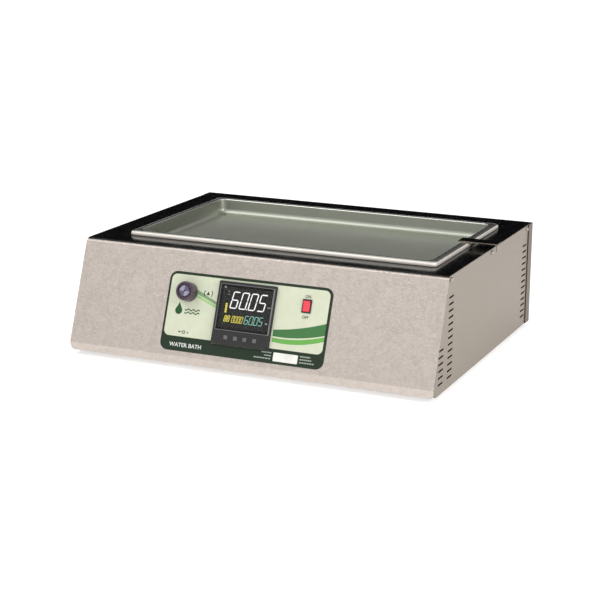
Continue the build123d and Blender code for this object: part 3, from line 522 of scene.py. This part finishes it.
# signs on the film: alarm sign by the sounder, drop mark, service-port sign, name band and small rules
print_dark = ink("print_dark", (0.014, 0.022, 0.015))
print_green = ink("print_green", (0.022, 0.085, 0.030))
print_white = ink("print_white", (0.74, 0.76, 0.72))


def thick_arc(u, v, radius, width, start, stop, steps=14):
    """Outline of an arc of a ring, angles in degrees, v down."""
    angle = np.radians(np.linspace(start, stop, steps))
    ray = np.column_stack([np.cos(angle), np.sin(angle)])
    outer, inner = (radius + width / 2) * ray, (radius - width / 2) * ray
    return np.concatenate([outer, inner[::-1]]) + (u, v)


flat_print("sign_alarm", [
    thick_arc(-77.6, 67.5, 7.0, 1.3, 140, 220), thick_arc(-77.6, 67.5, 7.0, 1.3, -40, 40),
    [(-77.6, 64.3), (-74.6, 70.0), (-80.6, 70.0)],
], print_dark, 0.00009)


def drop_outline(u, v, radius, steps=40):
    """Water drop: a circle whose upper half is drawn up to a point."""
    angle = np.linspace(-np.pi, np.pi, steps, endpoint=False)
    pull = np.clip(-np.cos(angle), 0, 1) ** 3
    across_it = np.sin(angle) * (1 - 0.75 * pull)
    down_it = np.cos(angle) - 1.1 * pull
    return np.column_stack([u + radius * across_it, v + radius * down_it])


def wave_outline(u0, u1, v, height, width, waves=3, steps=60):
    """A wavy rule from u0 to u1: a sine line given width."""
    run = np.linspace(u0, u1, steps)
    line = v + height * np.sin((run - u0) / (u1 - u0) * waves * 2 * np.pi)
    upper, lower = (np.column_stack([run, line + side * width / 2]) for side in (-1, 1))
    return np.concatenate([upper, lower[::-1]])


flat_print("sign_drop", [drop_outline(-124.5, 99.0, 6.2)], print_green, 0.00009)
flat_print("sign_waves", [wave_outline(-114, -88, v, 1.2, 1.9) for v in (96.6, 101.4)], print_green, 0.00009)
flat_print("sign_port", [ring_outline(-118, 132.4, 1.4, 20), ring_outline(-110, 132.4, 2.7, 28),
                         ring_outline(-110, 132.4, 1.6, 24), ring_outline(-103.2, 132.6, 1.1, 20),
                         box_outline(-116.4, 132.0, -113.0, 132.8)], print_dark, 0.00009)
words_on("word_on", "ON", switch_u, 56.0, 4.6, print_dark, 0.00009, "CENTER")
words_on("word_off", "OFF", switch_u, 88.3, 4.6, print_dark, 0.00009, "CENTER")
words_on("word_name", "WATER BATH", -131.5, 155.9, 6.5, print_white, 0.00005)
# three broken rules on each side of the blank label, each of six dashes
rules = []
rules_left, rules_right, dashes, half_rule = 44.5, 92, 6, 0.9
for v, left_w, right_w in ((146.3, 17, 17.5), (151.0, 12, 20), (155.6, 29, 25)):
    for start, width in ((rules_left - left_w, left_w), (rules_right, right_w)):
        dash = width / dashes
        for k in range(dashes):
            begin = start + k * dash
            rules.append(box_outline(begin, v - half_rule, begin + 0.8 * dash, v + half_rule))
flat_print("small_rules", rules, ink("print_grey", (0.36, 0.40, 0.35)), 0.00004)
paint(moulded("blank_label", (0.80, 0.80, 0.74), 0.6, 1200, 0.00002), "rating_label")

# ---------------------------------------------------------------------------
# Controller: black moulded bezel with four rubber keys, a window in a grey frame,
# and the lit display behind it.
# ---------------------------------------------------------------------------
bezel_plastic = moulded("bezel_plastic", (0.028, 0.028, 0.028), 0.5, 1500, 0.00002, Specular_IOR_Level=0.25)
paint(bezel_plastic, "controller_bezel", "controller_case", "controller_clamps")
display_smoked = moulded("display_smoked", (0.030, 0.030, 0.028), 0.8, 400, 0.000002, Specular_IOR_Level=0.1)
paint(display_smoked, "controller_display")
paint(moulded("board_laminate", (0.02, 0.16, 0.05), 0.45), "controller_board")
window_clear, tree, shader = new_material("window_clear", Base_Color=(0.030, 0.030, 0.028, 1), Alpha=0.08)
haze = noise(tree, place_of(tree), 60, 2)
tree.links.new(spread(tree, haze, 0.3, 0.7, 0.16, 0.24), shader.inputs["Roughness"])
relief(tree, shader, haze, 0.000002)
paint(window_clear, "controller_window")
key_names = ("key_set", "key_shift", "key_down", "key_up")
paint(moulded("key_rubber", (0.115, 0.115, 0.118), 0.6, 1500, 0.00003), *key_names)

bezel_face = 0.006 - film_t
display_face = 0.003 - film_t
frame_grey = moulded("frame_grey", (0.15, 0.15, 0.16), 0.35, 1500, 0.00002)
frame_outer = box_outline(-55.3, 48.9, 37.4, 121.5, 1.5)
frame_inner = box_outline(-54.5, 49.7, 34.9, 120.7, 1)
frame_lift = bezel_face + 0.0001
flat_print("window_frame", [frame_outer, frame_inner], frame_grey, frame_lift, 0.0001)


def lit(name, colour, power):
    """Display segment: its own colour, glowing a little, with a faint cloud."""
    material, tree, shader = new_material(name, Roughness=0.5)
    cloud = noise(tree, place_of(tree), 500, 2)
    shade = between(tree, spread(tree, cloud, 0.3, 0.7, 0, 1), tuple(0.85 * c for c in colour), colour)
    tree.links.new(shade, shader.inputs["Base Color"])
    tree.links.new(shade, shader.inputs["Emission Color"])
    shader.inputs["Emission Strength"].default_value = power
    return material


SEGMENTS = {"0": "abcdef", "1": "bc", "2": "abged", "3": "abgcd", "4": "fgbc", "5": "afgcd", "6": "afgedc",
            "7": "abc", "8": "abcdefg", "9": "abcdfg"}


def seven_segments(text, u, v, width, height, line, step, slant=0.17):
    """Outlines of slanted seven-segment characters, the first with its top left corner at u, v.
    Each segment is a bar with pointed ends; a point follows its character's foot."""
    half, gap = line / 2, line * 0.12
    corners = {"a": ((0, 0), (1, 0)), "b": ((1, 0), (1, 1)), "c": ((1, 1), (1, 2)), "d": ((0, 2), (1, 2)),
               "e": ((0, 1), (0, 2)), "f": ((0, 0), (0, 1)), "g": ((0, 1), (1, 1))}
    made, place = [], u
    for mark in text:
        if mark == ".":
            made.append(np.array([(-half, -half), (half, -half), (half, half), (-half, half)])
                        + (place - (step - width) / 2, v + height))
            continue
        for name in SEGMENTS[mark]:
            a, b = (np.array(c, float) * (width, height / 2) for c in corners[name])
            along = (b - a) / np.linalg.norm(b - a)
            side = np.array([-along[1], along[0]])
            a, b = a + along * gap, b - along * gap
            bar = np.array([a, a + along * half + side * half, b - along * half + side * half, b,
                            b - along * half - side * half, a + along * half - side * half])
            made.append(bar + (place, v))
        place += step
    return [np.column_stack([m[:, 0] + slant * (v + height - m[:, 1]), m[:, 1]]) for m in made]


lit_white = lit("lit_white", (0.74, 0.74, 0.74), 0.8)
lit_yellow = lit("lit_yellow", (0.62, 0.54, 0.07), 1.0)
lit_teal = lit("lit_teal", (0.17, 0.42, 0.34), 0.9)
lit_grey = lit("lit_grey", (0.16, 0.16, 0.16), 0.9)
bars = [box_outline(-44.0, v, -40.8, v + 2.2) for v in np.arange(79.0, 94, 3.1)]
small_marks = [box_outline(27.5, 78, 32.5, 80), box_outline(27, 102.5, 31, 105.5, 1),
               ring_outline(-41.2, 60.5, 1.3, 16), ring_outline(-41.2, 60.5, 0.7, 12),
               box_outline(-42.4, 64.5, -39.4, 65.5), drop_outline(-48.5, 54.2, 1.8)]
display_pieces = (
    ("digits_main", seven_segments("60.05", -36.3, 60.2, 10.6, 25.4, 1.75, 15.6), lit_white),
    ("digits_set", seven_segments("60.05", -8.8, 95.4, 5.5, 12.6, 0.95, 8.1), lit_teal),
    ("digits_time", seven_segments("0000", -30.5, 97.8, 3.2, 10.2, 0.75, 4.9), lit_yellow),
    ("digits_step", seven_segments("88", -43.4, 98.2, 3.1, 9.2, 1.0, 5.3), lit_yellow),
    ("bar_graph", bars, lit_yellow),
    ("small_marks", small_marks, lit_grey),
)
for name, outlines, material in display_pieces:
    flat_print(name, outlines, material, display_face + 0.0002, 0.0001)

# ---------------------------------------------------------------------------
# Power switch: black nylon frame and a red rocker with a glossy skin.
# ---------------------------------------------------------------------------
paint(moulded("switch_nylon", (0.018, 0.018, 0.020), 0.32, 1500, 0.00002), "switch_housing")
paint(ground_steel("tinned_brass", (0.70, 0.62, 0.42), 0.3, "y"), "switch_terminals", "inlet_pins")
rocker_red = moulded("rocker_red", (0.80, 0.035, 0.060), 0.22, 700, 0.00002, Coat_Weight=0.4)
paint(rocker_red, "switch_rocker")

# ---------------------------------------------------------------------------
# Sounder: violet-black moulded body turned about its axis, with a ring of sound
# ports round a pale two-tone disc, held by its ring nut.
# ---------------------------------------------------------------------------
paint(moulded("sounder_plastic", (0.062, 0.034, 0.058), 0.34, 1200, 0.00002, Coat_Weight=0.15),
      "buzzer_body", "buzzer_nut")
disc_pale, tree, shader = new_material("disc_pale", Roughness=0.4)
# two opposite quarters are paler: where x times z from the disc's middle is below 0
disc_low, disc_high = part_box("buzzer_disc")
disc_middle = tuple((disc_low + disc_high) / 2)
coords = add_node(tree, "TexCoord").outputs["Object"]
shifted = add_node(tree, "VectorMath", [(0, coords), (1, disc_middle)], operation="SUBTRACT").outputs[0]
parts = add_node(tree, "SeparateXYZ", [(0, shifted)]).outputs
quarter = add_node(tree, "Math", [(0, parts["X"]), (1, parts["Z"])], operation="MULTIPLY").outputs[0]
pale = spread(tree, quarter, -0.000001, 0.000001, 1, 0)
tree.links.new(between(tree, pale, (0.085, 0.072, 0.12), (0.27, 0.27, 0.35)), shader.inputs["Base Color"])
relief(tree, shader, noise(tree, place_of(tree), 900, 2), 0.00002)
paint(disc_pale, "buzzer_disc")

# ---------------------------------------------------------------------------
# Domed screws along the side panels and on the back: polished steel.
# ---------------------------------------------------------------------------
polished_screws = ground_steel("polished_screws", (0.42, 0.37, 0.34), 0.16, "z")
paint(polished_screws, "side_screws", "rear_screws", "inlet_screws")

# ---------------------------------------------------------------------------
# Mains inlet on the back: black moulded body with brass pins and a fuse drawer.
# ---------------------------------------------------------------------------
paint(moulded("inlet_plastic", (0.022, 0.022, 0.023), 0.5, 1300, 0.00003), "power_inlet", "fuse_drawer")
fuse_glass, tree, shader = new_material("fuse_glass", Base_Color=(0.9, 0.93, 0.92, 1), Roughness=0.08,
                                        Transmission_Weight=0.8)
relief(tree, shader, noise(tree, place_of(tree), 200, 2), 0.00001)
paint(fuse_glass, "fuse")

# ---------------------------------------------------------------------------
# Studio: pale floor, a large soft light overhead, smaller ones to the right and in
# front, and a camera in front and to the right, a little above the deck.
# ---------------------------------------------------------------------------
scene = bpy.context.scene
scene.view_settings.view_transform = "Standard"

floor_finish, tree, shader = new_material("studio_floor", Roughness=0.9, Base_Color=(0.85, 0.85, 0.85, 1),
                                          Emission_Color=(1, 1, 1, 1), Emission_Strength=0.5)
shader.inputs["Specular IOR Level"].default_value = 0.1
mesh = bpy.data.meshes.new("studio_floor")
mesh.from_pydata([(-60, -60, 0), (60, -60, 0), (60, 60, 0), (-60, 60, 0)], [], [(0, 1, 2, 3)])
mesh.materials.append(floor_finish)
studio_floor = bpy.data.objects.new("studio_floor", mesh)
scene.collection.objects.link(studio_floor)
studio_floor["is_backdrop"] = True


def aim(thing, place, target, roll=0.0):
    """Puts a light or camera at place, looking at target, turned by roll radians about its line of sight."""
    look = np.array(target, float) - np.array(place, float)
    look /= np.linalg.norm(look)
    right = np.cross(look, (0, 0, 1))
    right /= np.linalg.norm(right)
    up = np.cross(right, look)
    turned_right = right * math.cos(roll) + up * math.sin(roll)
    turned_up = up * math.cos(roll) - right * math.sin(roll)
    axes = Matrix.Identity(4)
    for row in range(3):
        for col, vector in enumerate((turned_right, turned_up, -look)):
            axes[row][col] = vector[row]
        axes[row][3] = place[row]
    thing.matrix_world = axes


def soft_light(name, place, target, size, watts):
    """A square soft light."""
    lamp = bpy.data.lights.new(name, "AREA")
    lamp.shape, lamp.size, lamp.energy = "SQUARE", size, watts
    holder = bpy.data.objects.new(name, lamp)
    scene.collection.objects.link(holder)
    aim(holder, place, target)
    return holder


soft_light("light_top", (-1.3, -1.1, 2.9), (0.0, 0.0, 0.0), 1.5, 24)
soft_light("light_right", (1.55, -0.75, 0.85), (-0.25, 0.15, 0.17), 0.5, 9)
soft_light("light_front", (-0.55, -1.45, 0.95), (0.0, -0.2, 0.1), 1.1, 1.3)

# the room: bright overhead and behind, dark low in front, with a white strip just above the horizon
world = bpy.data.worlds.new("studio_sky")
scene.world = world
world.use_nodes = True
sky = world.node_tree
way = add_node(sky, "SeparateXYZ", [(0, add_node(sky, "TexCoord").outputs["Generated"])])
height = added(sky, way.outputs["Z"], way.outputs["Y"], -0.35)
lift = spread(sky, height, 0.0, 0.32, 0.002, 0.80)
skyline = spread(sky, way.outputs["Z"], 0.030, 0.045, 1.0, 0.0)
strength = add_node(sky, "Math", [(0, lift), (1, skyline)], operation="MAXIMUM").outputs[0]
sky.links.new(strength, sky.nodes["Background"].inputs["Strength"])
sky.nodes["Background"].inputs["Color"].default_value = (1, 1, 1, 1)

camera_data = bpy.data.cameras.new("camera")
camera_data.lens, camera_data.sensor_width = 97.6, 36
camera_data.shift_x, camera_data.shift_y = -0.0264, -0.0334
camera = bpy.data.objects.new("camera", camera_data)
scene.collection.objects.link(camera)
azimuth, elevation, distance, roll = math.radians(23.17), math.radians(13.8), 2.741, math.radians(0.65)
panel_low, panel_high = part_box("front_panel")
case_x = (panel_low.x + panel_high.x) / 2
body_low, body_top = panel_low.z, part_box("side_panel_right")[1].z
deck_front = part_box("deck_plate")[0].y
target = np.array([case_x, deck_front + 0.2178, (body_low + body_top) / 2])
toward = np.array([math.sin(azimuth) * math.cos(elevation), -math.cos(azimuth) * math.cos(elevation),
                   math.sin(elevation)])
place = target + distance * toward
aim(camera, place, target, roll)
scene.camera = camera

low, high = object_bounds()
